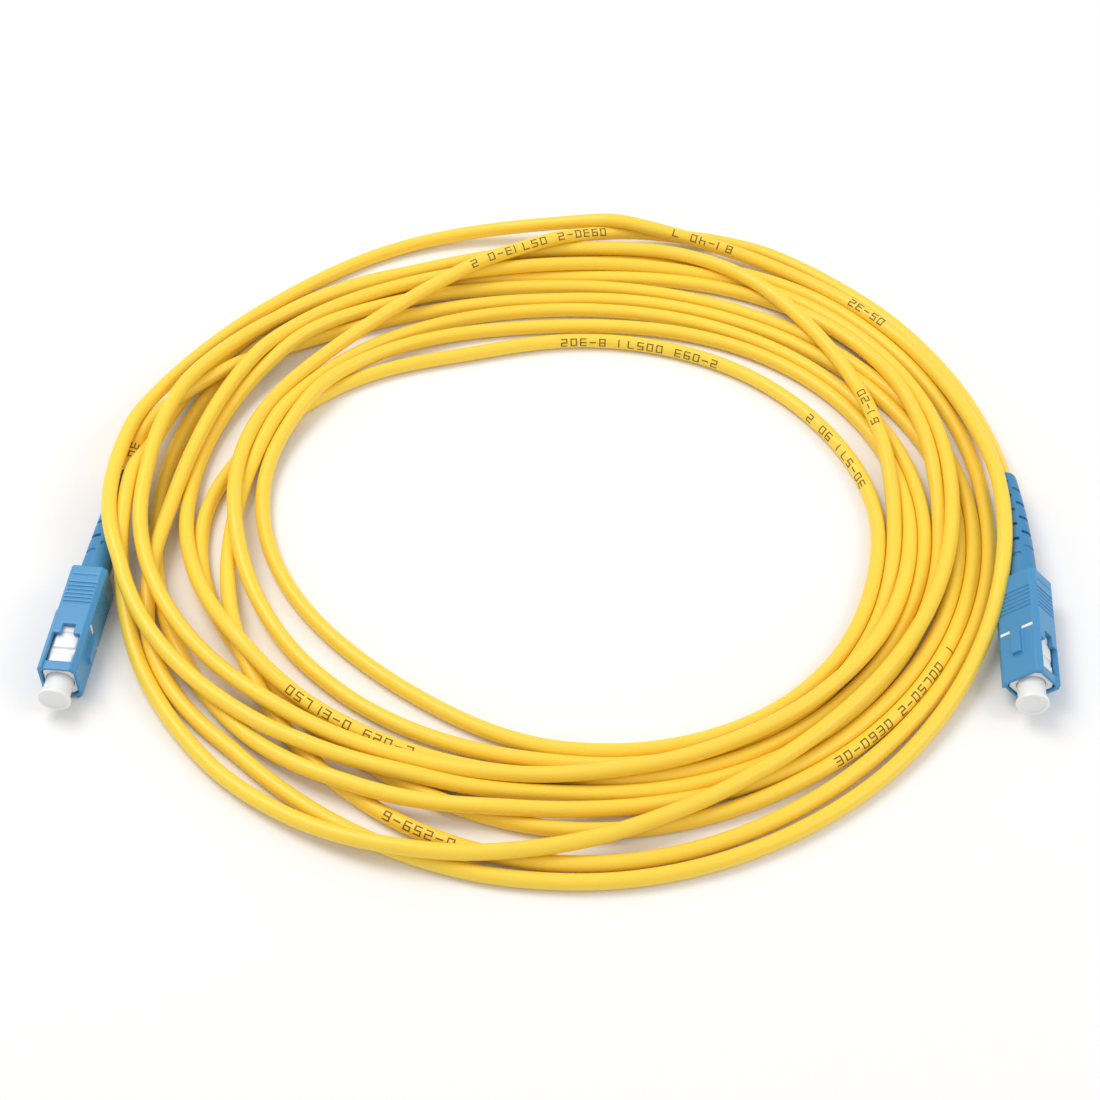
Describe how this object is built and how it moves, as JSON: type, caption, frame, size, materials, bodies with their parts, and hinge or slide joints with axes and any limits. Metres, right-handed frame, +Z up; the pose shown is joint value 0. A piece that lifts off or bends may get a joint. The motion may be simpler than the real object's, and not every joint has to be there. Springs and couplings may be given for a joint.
{
  "type": "fiber optic patch cord",
  "caption": "Coiled yellow simplex fibre cable with a blue square push-pull connector, boot and white dust cap on each end.",
  "frame": {"origin": "on the table under the middle of the box round the two connectors", "axes": "+Z up from the table, +X from connector a to connector b, -Y the way the connectors' fronts point"},
  "size_m": [0.1901, 0.168, 0.0103],
  "materials": {
    "sleeve_blue": "moulded, satin",
    "boot_blue": "soft moulded, matt",
    "frame_white": "moulded, satin",
    "mark_white": "printed, matt",
    "cap_natural": "moulded, slightly translucent",
    "zirconia": "polished ceramic",
    "nickel": "nickel plated, satin",
    "spring_steel": "drawn wire",
    "aramid": "yarn",
    "buffer_white": "extruded",
    "jacket_yellow": "extruded, satin"
  },
  "bodies": {
    "cord": {"cable_coil": "jacket_yellow", "cable_lead_a": "jacket_yellow", "cable_lead_b": "jacket_yellow", "plug_frame_a": "frame_white", "stop_ring_a": "nickel", "aramid_yarn_a": "aramid", "crimp_ring_a": "nickel", "boot_a": "boot_blue", "ferrule_spring_a": "spring_steel", "plug_frame_b": "frame_white", "stop_ring_b": "nickel", "aramid_yarn_b": "aramid", "crimp_ring_b": "nickel", "boot_b": "boot_blue", "ferrule_spring_b": "spring_steel"},
    "sleeve_a": {"coupling_sleeve_a": "sleeve_blue", "index_mark_left_a": "mark_white", "index_mark_right_a": "mark_white"},
    "ferrule_a": {"ferrule_a": "zirconia", "ferrule_flange_a": "nickel", "buffered_fibre_a": "buffer_white"},
    "cap_a": {"dust_cap_a": "cap_natural"},
    "sleeve_b": {"coupling_sleeve_b": "sleeve_blue", "index_mark_left_b": "mark_white", "index_mark_right_b": "mark_white"},
    "ferrule_b": {"ferrule_b": "zirconia", "ferrule_flange_b": "nickel", "buffered_fibre_b": "buffer_white"},
    "cap_b": {"dust_cap_b": "cap_natural"}
  },
  "joints": [
    {"name": "sleeve_slide_a", "type": "slide", "parent": "cord", "child": "sleeve_a", "axis": [0.1011, 0.9949, 0], "range_m": [0, 0.002]},
    {"name": "ferrule_press_a", "type": "slide", "parent": "cord", "child": "ferrule_a", "axis": [0.1011, 0.9949, 0], "range_m": [0, 0.001], "stiffness_N_per_m": 2500, "deforming": ["ferrule_spring_a"]},
    {"name": "cap_pull_a", "type": "slide", "parent": "cord", "child": "cap_a", "axis": [-0.1011, -0.9949, 0], "range_m": [0, 0.015]},
    {"name": "sleeve_slide_b", "type": "slide", "parent": "cord", "child": "sleeve_b", "axis": [0.0837, 0.9965, 0], "range_m": [0, 0.002]},
    {"name": "ferrule_press_b", "type": "slide", "parent": "cord", "child": "ferrule_b", "axis": [0.0837, 0.9965, 0], "range_m": [0, 0.001], "stiffness_N_per_m": 2500, "deforming": ["ferrule_spring_b"]},
    {"name": "cap_pull_b", "type": "slide", "parent": "cord", "child": "cap_b", "axis": [-0.0837, -0.9965, 0], "range_m": [0, 0.015]}
  ]
}
